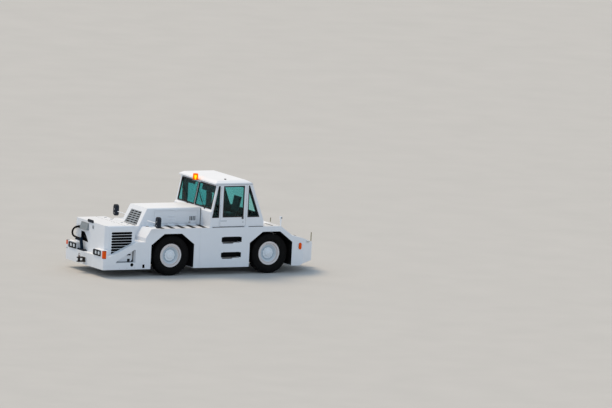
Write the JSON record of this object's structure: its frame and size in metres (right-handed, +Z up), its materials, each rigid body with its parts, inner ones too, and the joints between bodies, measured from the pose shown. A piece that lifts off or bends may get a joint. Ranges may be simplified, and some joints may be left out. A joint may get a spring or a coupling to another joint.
{
  "type": "aircraft pushback tractor",
  "caption": "Bonneted towbar tractor with a full-width cab, steered front wheels, louvred nose, side decks and tow couplings at both ends.",
  "frame": {"origin": "on the ground, in the middle of the vehicle's length and width", "axes": "+X forward, +Y to the driver's left, +Z up"},
  "size_m": [8.35, 3.08, 3.075],
  "materials": {
    "frame_paint": "satin",
    "body_paint": "gloss",
    "louvre_paint": "matt",
    "grille_paint": "satin",
    "radiator_core": "matt",
    "engine_iron": "matt",
    "rim_paint": "satin",
    "tyre": "matt",
    "floor_mat": "matt",
    "cab_plastic": "matt",
    "seat_vinyl": "satin",
    "cab_glass": "clear",
    "beacon_lens": "gloss",
    "lamp_frame": "satin",
    "amber_lens": "gloss",
    "red_lens": "gloss",
    "hitch_steel": "satin",
    "box_grey": "satin",
    "cable_rubber": "matt"
  },
  "bodies": {
    "root": {"chassis": "frame_paint", "front_bumper": "body_paint", "nose_body": "body_paint", "nose_louvres": "louvre_paint", "side_left": "body_paint", "side_right": "body_paint", "rear_body": "body_paint", "hood": "body_paint", "hood_grille": "grille_paint", "radiator": "radiator_core", "powertrain": "engine_iron", "front_axle": "frame_paint", "rear_axle": "frame_paint", "cab_shell": "body_paint", "cab_roof": "body_paint", "cab_floor": "floor_mat", "dashboard": "cab_plastic", "seats": "seat_vinyl", "windscreen": "cab_glass", "cab_glass": "cab_glass", "beacon": "beacon_lens", "headlamps": "lamp_frame", "indicators": "amber_lens", "rear_lamps": "red_lens", "mirrors": "lamp_frame", "front_hitch": "hitch_steel", "rear_hitch": "hitch_steel", "connector_box": "box_grey", "cable": "cable_rubber"},
    "knuckle_left": {"knuckle_left": "engine_iron"},
    "knuckle_right": {"knuckle_right": "engine_iron"},
    "wheel_front_left": {"rim_front_left": "rim_paint", "tyre_front_left": "tyre"},
    "wheel_front_right": {"rim_front_right": "rim_paint", "tyre_front_right": "tyre"},
    "wheel_rear_left": {"rim_rear_left": "rim_paint", "tyre_rear_left": "tyre"},
    "wheel_rear_right": {"rim_rear_right": "rim_paint", "tyre_rear_right": "tyre"},
    "door_left": {"door_left": "body_paint", "door_glass_left": "cab_glass"},
    "door_right": {"door_right": "body_paint", "door_glass_right": "cab_glass"},
    "hood_door_left": {"hood_door_left": "body_paint"},
    "hood_door_right": {"hood_door_right": "body_paint"}
  },
  "joints": [
    {"name": "steer_left", "type": "hinge", "parent": "root", "child": "knuckle_left", "pos_m": [1.445, 0.85, 0.64], "axis": [0, 0, 1], "range_deg": [-30, 30]},
    {"name": "steer_right", "type": "hinge", "parent": "root", "child": "knuckle_right", "pos_m": [1.445, -0.85, 0.64], "axis": [0, 0, 1], "range_deg": [-30, 30]},
    {"name": "spin_front_left", "type": "hinge", "parent": "knuckle_left", "child": "wheel_front_left", "pos_m": [1.445, 1.01, 0.64], "axis": [0, 1, 0], "continuous": true},
    {"name": "spin_front_right", "type": "hinge", "parent": "knuckle_right", "child": "wheel_front_right", "pos_m": [1.445, -1.01, 0.64], "axis": [0, 1, 0], "continuous": true},
    {"name": "spin_rear_left", "type": "hinge", "parent": "root", "child": "wheel_rear_left", "pos_m": [-2.075, 1.01, 0.64], "axis": [0, 1, 0], "continuous": true},
    {"name": "spin_rear_right", "type": "hinge", "parent": "root", "child": "wheel_rear_right", "pos_m": [-2.075, -1.01, 0.64], "axis": [0, 1, 0], "continuous": true},
    {"name": "door_left_hinge", "type": "hinge", "parent": "root", "child": "door_left", "pos_m": [-0.209, 1.24, 2.2], "axis": [0, 0, 1], "range_deg": [-80, 0]},
    {"name": "door_right_hinge", "type": "hinge", "parent": "root", "child": "door_right", "pos_m": [-0.209, -1.24, 2.2], "axis": [0, 0, 1], "range_deg": [0, 80]},
    {"name": "hood_door_left_hinge", "type": "hinge", "parent": "root", "child": "hood_door_left", "pos_m": [1.025, 0.584, 1.985], "axis": [1, 0, 0], "range_deg": [0, 85]},
    {"name": "hood_door_right_hinge", "type": "hinge", "parent": "root", "child": "hood_door_right", "pos_m": [1.025, -0.584, 1.985], "axis": [1, 0, 0], "range_deg": [-85, 0]}
  ],
  "couplings": [
    {"joint": "steer_right", "follows": "steer_left", "ratio": 1}
  ]
}
